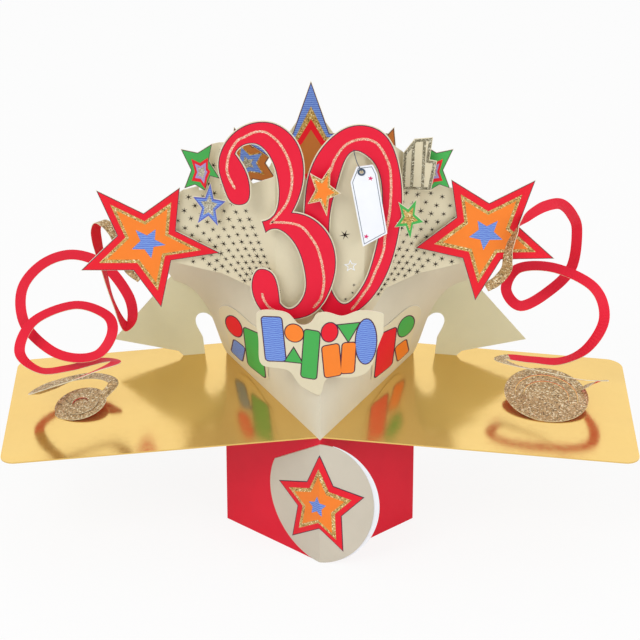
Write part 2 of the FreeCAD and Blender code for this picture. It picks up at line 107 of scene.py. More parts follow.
def seen(u, v, y):
    """Sideways place and height, in millimetres, of a point of the picture plane at depth y."""
    c, s = math.cos(TILT), math.sin(TILT)
    k = (PICTURE_HALF - v) / FOCAL
    z = (k * (AXIS_LENGTH + y * c) + AXIS_RISE - y * s) / (c + k * s)
    t = AXIS_LENGTH + y * c - z * s
    return ((u - PICTURE_HALF) * t / FOCAL, z + RAISED)


def along_plan(plan, x):
    for (x0, y0), (x1, y1) in zip(plan, plan[1:]):
        if abs(x) <= x1:
            break
    return y0 + (y1 - y0) * (abs(x) - x0) / (x1 - x0)


# Materials

def new_material(name):
    material = bpy.data.materials.new(name)
    material.use_nodes = True
    tree = material.node_tree
    return material, tree, tree.nodes["Principled BSDF"]


def add(tree, kind, **values):
    made = tree.nodes.new(kind)
    for key, value in values.items():
        if key in made.inputs:
            made.inputs[key].default_value = value
        else:
            setattr(made, key, value)
    return made


def coordinates(tree, stretch=(1, 1, 1)):
    source = tree.nodes.new("ShaderNodeTexCoord")
    mapping = tree.nodes.new("ShaderNodeMapping")
    mapping.inputs["Scale"].default_value = stretch
    tree.links.new(source.outputs["Object"], mapping.inputs["Vector"])
    return mapping.outputs["Vector"]


def noise(tree, vector, scale, detail=4.0, rough=0.6):
    made = add(tree, "ShaderNodeTexNoise", Scale=scale, Detail=detail, Roughness=rough)
    tree.links.new(vector, made.inputs["Vector"])
    return made


def ramp(tree, factor, stops):
    made = tree.nodes.new("ShaderNodeValToRGB")
    line = made.color_ramp
    while len(line.elements) < len(stops):
        line.elements.new(0.5)
    for element, (at, colour) in zip(line.elements, stops):
        element.position = at
        element.color = (*colour, 1)
    tree.links.new(factor, made.inputs["Fac"])
    return made.outputs["Color"]


def mix(tree, factor, first, second):
    made = tree.nodes.new("ShaderNodeMix")
    made.data_type = "RGBA"
    for socket, value in ((made.inputs[0], factor), (made.inputs[6], first), (made.inputs[7], second)):
        if isinstance(value, (int, float)):
            socket.default_value = value
        elif isinstance(value, tuple):
            socket.default_value = (*value, 1)
        else:
            tree.links.new(value, socket)
    return made.outputs[2]


def bump(tree, shader, height, strength, distance):
    made = add(tree, "ShaderNodeBump", Strength=strength, Distance=distance)
    tree.links.new(height, made.inputs["Height"])
    tree.links.new(made.outputs["Normal"], shader.inputs["Normal"])


def linear(colour):
    return tuple((c / 255 / 12.92) if c <= 10 else ((c / 255 + 0.055) / 1.055) ** 2.4 for c in colour)


def card(name, colour, rough, edge=None, sheen=0.0):
    """Printed or dyed card: fibre mottling and bump, and a paler cut edge where asked."""
    material, tree, shader = new_material(name)
    base = linear(colour)
    vector = coordinates(tree)
    cloud = noise(tree, vector, 45, 3.0)
    fibre = noise(tree, coordinates(tree, (1, 1, 4)), 900, 5.0, 0.7)
    dark = tuple(c * 0.9 for c in base)
    light = tuple(min(1, c * 1.06 + 0.004) for c in base)
    surface = mix(tree, cloud.outputs["Fac"], dark, light)
    surface = mix(tree, 0.12, surface, ramp(tree, fibre.outputs["Fac"], [(0.35, dark), (0.65, light)]))
    if edge:
        facing = tree.nodes.new("ShaderNodeNewGeometry")
        split = tree.nodes.new("ShaderNodeSeparateXYZ")
        tree.links.new(facing.outputs["Normal"], split.inputs[0])
        size = add(tree, "ShaderNodeMath", operation="ABSOLUTE")
        tree.links.new(split.outputs["Y"], size.inputs[0])
        rim = ramp(tree, size.outputs[0], [(0.25, (1, 1, 1)), (0.45, (0, 0, 0))])
        surface = mix(tree, rim, surface, linear(edge))
    tree.links.new(surface, shader.inputs["Base Color"])
    shader.inputs["Roughness"].default_value = rough
    shader.inputs["Specular IOR Level"].default_value = 0.35
    if sheen:
        shader.inputs["Coat Weight"].default_value = sheen
        shader.inputs["Coat Roughness"].default_value = 0.3
    bump(tree, shader, fibre.outputs["Fac"], 0.25, 0.0002)
    return material


def glitter(name, dark, middle, light, flakes):
    """Glued glitter: crisp flakes, each with its own roughness, bump and colour; the flake colours run from
    dark to near white, which is painted shade and painted glint for flakes leaning away from and towards the
    light.
    """
    material, tree, shader = new_material(name)
    vector = coordinates(tree)
    cells = add(tree, "ShaderNodeTexVoronoi", Scale=flakes)
    tree.links.new(vector, cells.inputs["Vector"])
    split = tree.nodes.new("ShaderNodeSeparateColor")
    tree.links.new(cells.outputs["Color"], split.inputs[0])
    dark, middle, light = linear(dark), linear(middle), linear(light)
    # Painted shade and painted glint: the dark and the light ends of this ramp colour the flakes that would
    # face away from and towards the light.
    colour = ramp(tree, split.outputs[0], [(0.0, dark), (0.35, middle), (0.75, middle), (1.0, light)])
    tree.links.new(colour, shader.inputs["Base Color"])
    shader.inputs["Metallic"].default_value = 0.4
    shine = ramp(tree, split.outputs[1], [(0.0, (0.18, 0.18, 0.18)), (1.0, (0.6, 0.6, 0.6))])
    tree.links.new(shine, shader.inputs["Roughness"])
    bump(tree, shader, split.outputs[2], 0.7, 0.0004)
    return material


def striped(name, first, second):
    """Hand-drawn looking stripes in two tones."""
    material, tree, shader = new_material(name)
    waves = add(tree, "ShaderNodeTexWave", Scale=260.0, Distortion=2.5, Detail=2.0)
    waves.bands_direction = "Z"
    waves.inputs["Detail Scale"].default_value = 2.0
    source = coordinates(tree)
    tree.links.new(source, waves.inputs["Vector"])
    colour = ramp(tree, waves.outputs["Fac"], [(0.35, linear(first)), (0.65, linear(second))])
    tree.links.new(colour, shader.inputs["Base Color"])
    shader.inputs["Roughness"].default_value = 0.5
    grain = noise(tree, source, 1200)
    bump(tree, shader, grain.outputs["Fac"], 0.15, 0.0001)
    return material


def gold_foil():
    """Mirror foil on card: nearly flat, with slow waves and the faint scuffs of handling."""
    material, tree, shader = new_material("gold_foil")
    vector = coordinates(tree)
    slow = noise(tree, vector, 9, 2.0)
    fine = noise(tree, vector, 260, 4.0)
    colour = mix(tree, slow.outputs["Fac"], linear((224, 184, 100)), linear((236, 203, 124)))
    tree.links.new(colour, shader.inputs["Base Color"])
    shader.inputs["Metallic"].default_value = 0.82
    gloss = ramp(tree, fine.outputs["Fac"], [(0.3, (0.13, 0.13, 0.13)), (0.8, (0.22, 0.22, 0.22))])
    tree.links.new(gloss, shader.inputs["Roughness"])
    bump(tree, shader, slow.outputs["Fac"], 0.5, 0.004)
    return material


def foam():
    material, tree, shader = new_material("foam")
    cells = add(tree, "ShaderNodeTexVoronoi", Scale=2200.0)
    tree.links.new(coordinates(tree), cells.inputs["Vector"])
    # Painted shade: the foam is darker at each cell's centre, where the bump sinks a pore.
    colour = ramp(tree, cells.outputs["Distance"], [(0.0, (0.75, 0.74, 0.7)), (0.6, (0.93, 0.93, 0.91))])
    tree.links.new(colour, shader.inputs["Base Color"])
    shader.inputs["Roughness"].default_value = 0.85
    bump(tree, shader, cells.outputs["Distance"], 0.5, 0.0003)
    return material


PALE = (246, 240, 226)
cream = card("cream_card", (222, 212, 182), 0.5, edge=PALE, sheen=0.15)
olive = card("flange_card", (230, 230, 200), 0.5, edge=PALE, sheen=0.2)
wall_card = card("wall_card", (216, 209, 188), 0.5, sheen=0.15)
pearl = card("pearl_card", (203, 195, 178), 0.38, sheen=0.35)
# The white card's slight blue tint is painted shade, standing in for the cool shade on the seal's backing;
# the tag and the printed outline star use this card too.
white = card("white_card", (240, 243, 250), 0.5)
crimson = card("crimson_card", (226, 0, 44), 0.55)
red = card("red_print", (232, 4, 36), 0.5)
dark = card("dark_print", (74, 26, 58), 0.55)
ink = card("ink_print", (44, 32, 20), 0.65)
orange = card("orange_print", (246, 130, 34), 0.45)
green = card("green_print", (66, 172, 78), 0.45)
lilac = card("lilac_print", (170, 150, 205), 0.5)
magenta = card("magenta_print", (214, 40, 110), 0.5)
scarlet = card("numeral_print", (228, 0, 48), 0.5)
brown = card("brown_print", (190, 112, 48), 0.5)
slate = card("slate_print", (70, 84, 104), 0.4)
violet = card("violet_print", (88, 96, 190), 0.5)
blue = striped("blue_stripes", (84, 112, 205), (122, 160, 225))
# The first colour of each glitter is painted shade and the last is a painted glint; the middle one is the
# glitter's own colour.
gold = glitter("gold_glitter", (112, 80, 28), (208, 170, 92), (255, 240, 190), 1700)
deep_gold = glitter("deep_glitter", (100, 78, 46), (190, 156, 108), (255, 242, 206), 1500)
pale_glitter = glitter("pale_glitter", (110, 104, 86), (188, 182, 160), (246, 244, 232), 2600)
grey_glitter = glitter("grey_glitter", (70, 64, 48), (146, 138, 112), (232, 228, 206), 1900)
rose_glitter = glitter("rose_glitter", (196, 116, 90), (246, 178, 150), (255, 232, 214), 2200)
foil = gold_foil()
pad = foam()


# Shapes

def piece(name, bm, materials):
    mesh = bpy.data.meshes.new(name)
    bm.to_mesh(mesh)
    bm.free()
    made = bpy.data.objects.new(name, mesh)
    bpy.context.scene.collection.objects.link(made)
    for material in materials:
        mesh.materials.append(material)
    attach(made, "root")
    return made


def loops_of(node):
    """Outlines of a flat upright node's front face, as lists of (x, z) in millimetres."""
    mesh = nodes[node].data
    front = [p for p in mesh.polygons if p.normal.y < -0.9]
    count = {}
    for polygon in front:
        ring = list(polygon.vertices)
        for a, b in zip(ring, ring[1:] + ring[:1]):
            ka = tuple(round(c, 6) for c in mesh.vertices[a].co)
            kb = tuple(round(c, 6) for c in mesh.vertices[b].co)
            if (kb, ka) in count:
                del count[(kb, ka)]
            else:
                count[(ka, kb)] = True
    follow = {a: b for a, b in count}
    loops = []
    while follow:
        start = next(iter(follow))
        ring = [start]
        at = follow.pop(start)
        while at != start and at in follow:
            ring.append(at)
            at = follow.pop(at)
        loops.append([(p[0] * 1000, p[2] * 1000) for p in ring])
    return loops


def area(ring):
    return sum(a[0] * b[1] - b[0] * a[1] for a, b in zip(ring, ring[1:] + ring[:1])) / 2


def inset(ring, by, hole=False):
    """The outline moved by millimetres into its own sheet, with mitred corners."""
    turn = 1 if area(ring) > 0 else -1
    if hole:
        turn = -turn
    out = []
    count = len(ring)
    for i in range(count):
        before, here, after = Vector(ring[i - 1]), Vector(ring[i]), Vector(ring[(i + 1) % count])
        first = here - before
        last = after - here
        if first.length < 1e-4 or last.length < 1e-4:
            continue
        n1 = Vector((-first.y, first.x)).normalized() * turn
        n2 = Vector((-last.y, last.x)).normalized() * turn
        middle = n1 + n2
        if middle.length < 0.2:
            middle = n1
        middle.normalize()
        scale = min(1 / max(middle.dot(n1), 0.2), 3.0)
        point = here + middle * by * scale
        out.append((point.x, point.y))
    return out


def slab(bm, rings, mapping, slot, thick=SKIN, cuts=()):
    """Thin printed layer filling the outlines; mapping turns (x, z, lift) to a place.

    The cuts are (axis, place) lines along which the layer may bend.
    """
    flat = bmesh.new()
    points = [Vector((x, z, 0)) for ring in rings for x, z in ring]
    verts = [flat.verts.new(p) for p in points]
    for triangle in tessellate_polygon([[Vector((x, z, 0)) for x, z in ring] for ring in rings]):
        a, b, c = (points[i] for i in triangle)
        height = (b - a).cross(c - a).z
        if abs(height) > 1e-9:
            ordered = triangle if height > 0 else tuple(reversed(triangle))
            flat.faces.new([verts[i] for i in ordered])
    for axis, at in cuts:
        co = (at, 0, 0) if axis == "x" else (0, at, 0)
        no = (1, 0, 0) if axis == "x" else (0, 1, 0)
        everything = flat.verts[:] + flat.edges[:] + flat.faces[:]
        bmesh.ops.bisect_plane(flat, geom=everything, dist=1e-5, plane_co=co, plane_no=no)
    used = [v for v in flat.verts if v.link_faces]
    fronts = {v: bm.verts.new(mapping(v.co.x, v.co.y, thick)) for v in used}
    backs = {v: bm.verts.new(mapping(v.co.x, v.co.y, 0.0)) for v in used}
    for face in flat.faces:
        bm.faces.new([fronts[v] for v in face.verts]).material_index = slot
        for loop in face.loops:
            if loop.edge.is_boundary:
                a, b = loop.vert, loop.link_loop_next.vert
                bm.faces.new((fronts[b], fronts[a], backs[a], backs[b])).material_index = slot
    flat.free()


def upright(front):
    """Mapping onto a flat upright face at depth front."""
    return lambda x, z, lift: place(x, front - lift, z)


def stacked(front, level):
    """The mapping for the level-th printed layer on a face."""
    return upright(front - level * SKIN)


def over(mapping, level):
    """The mapping for the level-th printed layer on a folded or leaning sheet."""
    return lambda x, z, lift: mapping(x, z, lift + level * SKIN)


def round_ring(cx, cz, rx, rz, count=28):
    return [(cx + rx * math.cos(2 * math.pi * k / count), cz + rz * math.sin(2 * math.pi * k / count))
            for k in range(count)]


def star_ring(cx, cz, reach, notch, first, squeeze=1.0):
    ring = []
    for k in range(10):
        angle = math.radians(first + 36 * k)
        radius = reach if k % 2 == 0 else notch
        ring.append((cx + squeeze * radius * math.cos(angle), cz + radius * math.sin(angle)))
    return ring


def nested_star(name, cx, rise, reach, notch, first, front, layers, squeeze=1.0):
    """Star print of layers (share of the reach, material, share of the notch), each on the one before."""
    bm = bmesh.new()
    materials = []
    for level, (share, material, notch_share) in enumerate(layers):
        if material not in materials:
            materials.append(material)
        ring = star_ring(cx, DECK + rise, reach * share, notch * notch_share, first, squeeze)
        slab(bm, [ring], stacked(front, level), materials.index(material))
    piece(name, bm, materials)


def smooth_line(points, steps=6):
    """Catmull-Rom points through the given ones."""
    out = []
    count = len(points)
    for i in range(count - 1):
        p1, p2 = Vector(points[i]), Vector(points[i + 1])
        p0 = Vector(points[i - 1]) if i else p1 * 2 - p2
        p3 = Vector(points[i + 2]) if i + 2 < count else p2 * 2 - p1
        for k in range(steps):
            t = k / steps
            out.append(0.5 * ((2 * p1) + (p2 - p0) * t + (2 * p0 - 5 * p1 + 4 * p2 - p3) * t * t
                              + (3 * p1 - p0 - 3 * p2 + p3) * t * t * t))
    out.append(Vector(points[-1]))
    return out


def stroke(bm, points, width, mapping, slot):
    """Painted line with a slight wobble in its width, narrowing at its ends."""
    line = smooth_line([(p[0], p[1], 0) for p in points])
    lefts, rights = [], []
    for i, p in enumerate(line):
        way = line[min(i + 1, len(line) - 1)] - line[max(i - 1, 0)]
        side = Vector((-way.y, way.x, 0)).normalized()
        half = width / 2
        if i in (0, len(line) - 1):
            half *= 0.45
        wobble = 1 + 0.12 * math.sin(i * 2.1)
        lefts.append(p + side * half * wobble)
        rights.append(p - side * half * wobble)
    ring = [(p.x, p.y) for p in rights] + [(p.x, p.y) for p in reversed(lefts)]
    slab(bm, [ring], mapping, slot)


def asterisk(bm, cx, cz, size, mapping, first=None):
    """Three crossed slivers, turned by chance unless first says how far."""
    first = random.uniform(0, 180) if first is None else first
    for k in range(3):
        angle = math.radians(first + 60 * k)
        ax, az = math.cos(angle), math.sin(angle)
        w = size * 0.15
        ring = [(cx - ax * size, cz - az * size), (cx + az * w, cz - ax * w),
                (cx + ax * size, cz + az * size), (cx - az * w, cz + ax * w)]
        slab(bm, [ring], mapping, 0)


# CAD pieces keep their shape and get their finish
finishes = {"plinth": crimson, "foil_board": foil, "seal": pearl, "seal_backing": white,
            "bowl_wall": wall_card, "side_flange_left": olive, "side_flange_right": olive, "gift_tag": white,
            "foam_pads": pad}
finishes.update(dict.fromkeys((
    "band_end_left", "band_end_right", "band_middle", "backdrop", "numeral_three", "numeral_zero",
    "glitter_plate", "rear_support", "big_star_left", "big_star_right", "orange_star", "blue_star",
    "green_star_right", "leaf_star_left", "leaf_star_right", "rear_star_left", "rear_star_right",
    "crown_star"), cream))
for name, material in finishes.items():
    slots = nodes[name].material_slots
    for held in slots:
        held.material = material
    if not slots:
        nodes[name].data.materials.append(material)


# Large stars, each with smaller stars printed on it
big_left_outline = [(-75.5, 129.4), (-95.6, 114.0), (-120.9, 127.7), (-110.3, 100.6), (-130.7, 79.6),
                    (-102.0, 79.6), (-87.2, 56.7), (-81.1, 85.6), (-54.1, 90.2), (-78.2, 103.5)]
big_right_outline = [(116.2, 133.7), (91.5, 120.1), (70.6, 134.1), (73.9, 111.6), (51.9, 93.3),
                     (77.8, 86.9), (85.2, 61.0), (98.8, 86.2), (127.9, 86.7), (107.6, 106.3)]


def shrunk(ring, share):
    cx = sum(x for x, z in ring) / len(ring)
    cz = sum(z for x, z in ring) / len(ring)
    return [(cx + (x - cx) * share, cz + (z - cz) * share) for x, z in ring]


for name, outline in (("big_star_left_print", big_left_outline),
                      ("big_star_right_print", big_right_outline)):
    bm = bmesh.new()
    ring = [(x, DECK + rise) for x, rise in outline]
    slab(bm, [inset(ring, 0.15)], stacked(BIG_STAR, 0), 0)
    slab(bm, [inset(ring, 0.5)], stacked(BIG_STAR, 1), 1)
    for level, (share, slot) in enumerate(((0.73, 2), (0.61, 3), (0.24, 4))):
        slab(bm, [shrunk(ring, share)], stacked(BIG_STAR, 2 + level), slot)
    piece(name, bm, [dark, red, gold, orange, blue])

# Small stars
nested_star("orange_star_print", 1.7, 137.6, 15.2, 6.6, 66, SMALL_STAR,
            [(0.94, gold, 0.94), (0.64, orange, 0.66)], 0.62)
nested_star("blue_star_print", -59.9, 120.0, 14.2, 6.0, 84, BLUE_STAR,
            [(0.95, violet, 0.95), (0.82, blue, 0.78), (0.5, pale_glitter, 0.6)], 0.68)
nested_star("green_star_print", 47.5, 120.0, 12.8, 5.4, 61, GREEN_STAR,
            [(0.95, green, 0.95), (0.6, gold, 0.62)], 0.65)
rear_layers = [(0.97, dark, 0.97), (0.93, brown, 0.92), (0.52, gold, 0.54), (0.44, blue, 0.46),
               (0.2, pale_glitter, 0.22)]
nested_star("rear_star_left_print", -40.7, 117.9, 23.0, 10.5, 108, REAR, rear_layers)
nested_star("rear_star_right_print", 34.1, 117.9, 23.0, 10.5, 72, REAR, rear_layers)
nested_star("crown_star_print", -5.0, 122.1, 45.5, 17.5, 90, CROWN,
            [(0.985, dark, 0.985), (0.96, blue, 0.95), (0.67, gold, 0.84), (0.5, red, 0.7),
             (0.36, brown, 0.52)])

# Uneven stars at the tops of the wings, each with a smaller star on it
leaf_outline = [(-74.6, 152.7), (-65.5, 150.6), (-57.6, 155.9), (-59.5, 145.8), (-53.5, 135.1),
                (-58.9, 136.7), (-62.0, 128.1), (-67.3, 131.7), (-73.2, 129.5), (-69.3, 140.4)]
leaf_inner = [(-69.0, 147.0), (-64.4, 144.6), (-60.0, 147.8), (-60.2, 141.3), (-58.9, 139.6),
              (-60.7, 135.2), (-61.8, 129.2), (-64.4, 133.4), (-69.0, 134.2), (-67.2, 139.5)]
for name, side, shift in (("leaf_star_left_print", 1, 0.0), ("leaf_star_right_print", -1, -3.1)):
    bm = bmesh.new()
    outer = [(side * x + shift, DECK + rise) for x, rise in leaf_outline]
    inner = [(side * x + shift, DECK + rise) for x, rise in leaf_inner]
    slab(bm, [inset(outer, 0.15)], stacked(LEAF_STAR, 0), 0)
    slab(bm, [inset(outer, 0.5)], stacked(LEAF_STAR, 1), 1)
    slab(bm, [inner], stacked(LEAF_STAR, 2), 2)
    for level, (share, slot) in enumerate(((0.66, 3), (0.42, 4))):
        slab(bm, [shrunk(inner, share)], stacked(LEAF_STAR, 3 + level), slot)
    piece(name, bm, [dark, green, red, lilac, pale_glitter])


# Numerals: dark outline, red face and a glitter line
GLITTER_LINE = 1.35


def numeral(name, node, front, lines):
    rings = sorted(loops_of(node), key=lambda ring: -abs(area(ring)))
    bm = bmesh.new()
    for level, (by, slot) in enumerate(((0.55, 0), (1.0, 1))):
        inner = [inset(ring, by, hole=k > 0) for k, ring in enumerate(rings)]
        slab(bm, inner, stacked(front, level), slot)
    for line in lines:
        stroke(bm, [seen(u, v, front) for u, v in line], GLITTER_LINE, stacked(front, 2), 2)
    piece(name, bm, [dark, scarlet, rose_glitter])


# The glitter lines as they lie in the picture plane
numeral("numeral_three_print", "numeral_three", THREE, [
    [(235, 189), (228, 175), (227, 165), (230, 152), (237, 141), (244, 137), (255, 132), (265, 132),
     (273, 137), (280, 144), (287, 156), (291, 169), (292, 181), (290, 194), (285, 206), (276, 217),
     (270, 224)],
    [(271, 222), (290, 223), (302, 227), (310, 236), (317, 247), (321, 260), (323, 270), (324, 280),
     (323, 290), (320, 300), (313, 308)],
    [(262, 293), (264, 300), (269, 307), (276, 311)]])
numeral("numeral_zero_print", "numeral_zero", ZERO, [
    [(328, 175), (331, 170), (334, 161), (340, 151), (347, 144), (356, 140), (366, 139), (375, 142),
     (381, 148), (386, 157), (390, 168), (391, 180), (391, 193), (390, 209), (388, 222), (385, 237),
     (384, 248), (380, 261), (375, 272), (370, 284), (364, 293), (357, 303), (351, 310)]])


# Tag: thin inset border, eyelet ring, string and two small stars
bm = bmesh.new()
tag_rings = sorted(loops_of("gift_tag"), key=lambda ring: -abs(area(ring)))
outer = inset(tag_rings[0], 0.9)
slab(bm, [outer, list(reversed(inset(outer, 0.3)))], stacked(TAG, 0), 0)
eyelet_rim, eyelet_hole = (round_ring(22.0, DECK + 148.4, radius, radius, 32) for radius in (2.1, 1.15))
slab(bm, [eyelet_rim, list(reversed(eyelet_hole))], stacked(TAG, 1), 0, 0.25)
for u, v in ((370.5, 178.4), (366.3, 236.5)):
    x, z = seen(u, v, TAG)
    slab(bm, [star_ring(x, z, 1.5, 0.65, 80)], stacked(TAG, 0), 1)
piece("gift_tag_print", bm, [slate, magenta])


def tube(name, points, radius, material):
    curve = bpy.data.curves.new(name, "CURVE")
    curve.dimensions = "3D"
    curve.bevel_depth = radius * 0.001
    curve.bevel_resolution = 3
    curve.use_fill_caps = True
    spline = curve.splines.new("POLY")
    line = smooth_line(points, 5)
    spline.points.add(len(line) - 1)
    for point, p in zip(spline.points, line):
        point.co = (*place(*p), 1)
    made = bpy.data.objects.new(name, curve)
    bpy.context.scene.collection.objects.link(made)
    curve.materials.append(material)
    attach(made, "root")


tube("tag_string", [(22.0, 25.7, DECK + 148.6), (21.4, 24.6, DECK + 150.2), (19.6, 24.7, DECK + 154.0),
                    (18.2, 27.6, DECK + 158.0), (17.6, 30.4, DECK + 160.4)], 0.22, slate)

# Small glittered plate: a glittered border and plain upright bands
bm = bmesh.new()
rim = max(loops_of("glitter_plate"), key=lambda ring: abs(area(ring)))
slab(bm, [inset(rim, 0.4), list(reversed(inset(rim, 1.9)))], stacked(PLATE, 0), 0, 0.12)
for x0, x1, z0, z1 in ((48.4, 49.9, 132.2, 157.6), (54.2, 55.7, 132.2, 159.6)):
    ring = [(x0, DECK + z0), (x1, DECK + z0), (x1 + 0.8, DECK + z1), (x0 + 0.8, DECK + z1)]
    slab(bm, [ring], stacked(PLATE, 1), 0, 0.12)
piece("glitter_plate_print", bm, [grey_glitter])


# Star print on the backdrop's folded front
def on_backdrop(x, z, lift):
    return place(x, along_plan(BACKDROP_PLAN, x) - lift - FOLD_AIR, z)


def backdrop_spot(u, v):
    """Sideways place and height of a point of the picture plane that lies on the backdrop."""
    edge = BACKDROP_PLAN[-1][0] - 1.0
    y = 45.0
    for _ in range(8):
        x, z = seen(u, v, y)
        y = along_plan(BACKDROP_PLAN, max(-edge, min(edge, x)))
    return x, z


def inside(ring, x, z):
    hit = False
    for (x0, z0), (x1, z1) in zip(ring, ring[1:] + ring[:1]):
        if (z0 > z) != (z1 > z) and x < x0 + (z - z0) * (x1 - x0) / (z1 - z0):
            hit = not hit
    return hit


mesh = nodes["backdrop"].data
panels = [[(mesh.vertices[i].co.x * 1000, mesh.vertices[i].co.z * 1000) for i in polygon.vertices]
          for polygon in mesh.polygons if polygon.normal.y < -0.7]


def on_sheet(x, z):
    return any(inside(ring, x, z) for ring in panels)


# Asterisks in rays from two points of the picture plane, wider apart further out
RAYS = 17
NEAREST, FURTHEST = 58, 215
FIRST_STEP, STEP_GROWTH = 5.6, 1.045
CLEAR = 1.2
MIDDLE_STRIP = 5
bm = bmesh.new()
for (focus_u, focus_v), (low, high) in (((300, 345), (112, 172)), ((345, 345), (8, 68))):
    for k in range(RAYS):
        angle = math.radians(low + (high - low) * k / (RAYS - 1))
        step = FIRST_STEP
        reach = NEAREST + (k % 2) * 3
        while reach < FURTHEST:
            x, z = backdrop_spot(focus_u + reach * math.cos(angle), focus_v - reach * math.sin(angle))
            around = ((x + CLEAR, z), (x - CLEAR, z), (x, z + CLEAR), (x, z - CLEAR))
            if abs(x) > MIDDLE_STRIP and all(on_sheet(*spot) for spot in around):
                asterisk(bm, x, z, random.uniform(1.6, 2.05), on_backdrop)
            reach += step
            step *= STEP_GROWTH
for u, v, size in ((344.9, 234.9, 3.0), (354, 285, 1.1), (352.5, 292.7, 1.0), (345.6, 299, 1.1)):
    x, z = backdrop_spot(u, v)
    asterisk(bm, x, z, size, on_backdrop, first=12)
x, z = backdrop_spot(350.6, 265.9)
outline = star_ring(x, z, 3.8, 1.7, 94)
slab(bm, [outline, list(reversed(shrunk(outline, 0.7)))], on_backdrop, 1, cuts=[("x", BACKDROP_FOLD)])
piece("backdrop_print", bm, [ink, white])


# Band: generic coloured shapes
def on_band(x, z, lift):
    return place(x, BAND_FRONT + (BAND_SIDE - BAND_FRONT) * abs(x) / BAND_HALF - lift - FOLD_AIR, z)


BLOCK_CORNER = 1.6
OUTLINE = 0.6


def block_ring(cx, cz, half_x, half_z, lean):
    """Block with rounded corners, leaning by some degrees."""
    ring = []
    for sx, sz, first in ((1, 1, 0), (-1, 1, 90), (-1, -1, 180), (1, -1, 270)):
        for k in range(5):
            a = math.radians(first + 22.5 * k)
            x = sx * (half_x - BLOCK_CORNER) + BLOCK_CORNER * math.cos(a)
            z = sz * (half_z - BLOCK_CORNER) + BLOCK_CORNER * math.sin(a)
            ring.append((x, z))
    c, s = math.cos(math.radians(lean)), math.sin(math.radians(lean))
    return [(cx + x * c - z * s, cz + x * s + z * c) for x, z in ring]


def wedge_ring(cx, cz, half, up=1):
    """Triangle pointing up, or down where up is -1."""
    return [(cx - half, cz - up * half * 0.8), (cx + half, cz - up * half * 0.8), (cx, cz + up * half)][::up]


def outlined(bm, ring, mapping, tone, cuts):
    """Coloured shape with a dark outline under it."""
    slab(bm, [inset(ring, -OUTLINE)], mapping, 0, cuts=cuts)
    slab(bm, [ring], over(mapping, 1), tone, cuts=cuts)


band_tones = [dark, blue, green, orange, red]
bm = bmesh.new()
band_shapes = [
    (block_ring(-25.2, DECK + 51.0, 5.4, 13.2, 5), 1), (wedge_ring(-14.3, DECK + 42.0, 4.7), 2),
    (round_ring(-14.0, DECK + 56.0, 4.9, 5.2), 3), (block_ring(-5.2, DECK + 44.0, 4.1, 14.6, -4), 2),
    (round_ring(5.2, DECK + 57.5, 4.3, 5.6), 4), (block_ring(6.4, DECK + 40.0, 4.5, 9.6, 5), 3),
    (wedge_ring(15.4, DECK + 56.6, 5.8, -1), 2), (block_ring(15.4, DECK + 40.6, 3.6, 9.2, -3), 3),
    (round_ring(25.0, DECK + 49.5, 5.6, 13.6), 1)]
for ring, tone in band_shapes:
    outlined(bm, ring, on_band, tone, [("x", 0)])
piece("band_print", bm, band_tones)


# Wall ends of the band: shapes laid on the leaning wall
def wall_face(x, z, lift):
    """Place on the wall's face, found by halving between its foot and its top."""
    rise = z - DECK
    foot_drop = -WALL_HALF_FOOT * math.tan(math.radians(DROOP))
    low, high = 0.0, 1.0
    for _ in range(40):
        t = (low + high) / 2
        outer_half = WALL_HALF_FOOT + (WALL_HALF_TOP - WALL_HALF_FOOT) * t
        share = abs(x) / outer_half
        crease_rise = WALL_RISE * t
        outer_rise = foot_drop + (WALL_RISE - foot_drop) * t
        if crease_rise + (outer_rise - crease_rise) * share < rise:
            low = t
        else:
            high = t
    crease_depth = WALL_LEAN * t
    depth = crease_depth + (WALL_BACK - crease_depth) * share
    return place(x, depth - END_LEAD - lift - WALL_AIR, z)


def end_print(name, side, tones):
    bm = bmesh.new()
    cuts = [("x", side * k) for k in range(30, 58, 2)] + [("z", DECK + k) for k in range(0, 42, 2)]
    shapes = [block_ring(side * 36.8, DECK + 18.6, 5.0, 13.0, side * -5),
              round_ring(side * 48.6, DECK + 28.0, 4.6, 6.6),
              block_ring(side * 46.6, DECK + 10.6, 3.2, 7.0, side * 8)]
    for ring, tone in zip(shapes, tones):
        outlined(bm, ring, wall_face, tone, cuts)
    piece(name, bm, band_tones)


end_print("band_end_left_print", -1, (2, 4, 1))
end_print("band_end_right_print", 1, (4, 2, 3))


# Seal: its star is printed across the fold
left_turn = math.atan2(PLINTH_HALF_DEPTH, PLINTH_HALF_WIDTH)
right_turn = math.radians(SEAL_RIGHT_TURN)
LEFT_WAY = Vector((-math.cos(left_turn), math.sin(left_turn)))
LEFT_OUT = Vector((-math.sin(left_turn), -math.cos(left_turn)))
RIGHT_WAY = Vector((math.cos(right_turn), math.sin(right_turn)))
RIGHT_OUT = Vector((math.sin(right_turn), -math.cos(right_turn)))


def on_seal(s, z, lift):
    """Place on the folded seal; s is measured along the sheet from its fold."""
    out = SHEET + lift + FOLD_AIR
    flat = (LEFT_WAY * -s + LEFT_OUT * out) if s < 0 else (RIGHT_WAY * s + RIGHT_OUT * out)
    if abs(s) < SEAL_ROUNDING:
        both = LEFT_OUT + RIGHT_OUT
        flat = (both * (out / both.dot(LEFT_OUT))).lerp(flat, abs(s) / SEAL_ROUNDING)
    return place(flat.x, PLINTH_FRONT + flat.y, z)


def seal_spot(u, v):
    """Sheet place of a point of the picture plane that lies on the seal."""
    y = PLINTH_FRONT
    for _ in range(12):
        x, z = seen(u, v, y)
        turn = left_turn if x < 0 else right_turn
        y = PLINTH_FRONT + abs(x) * math.tan(turn)
    return x / math.cos(turn), z


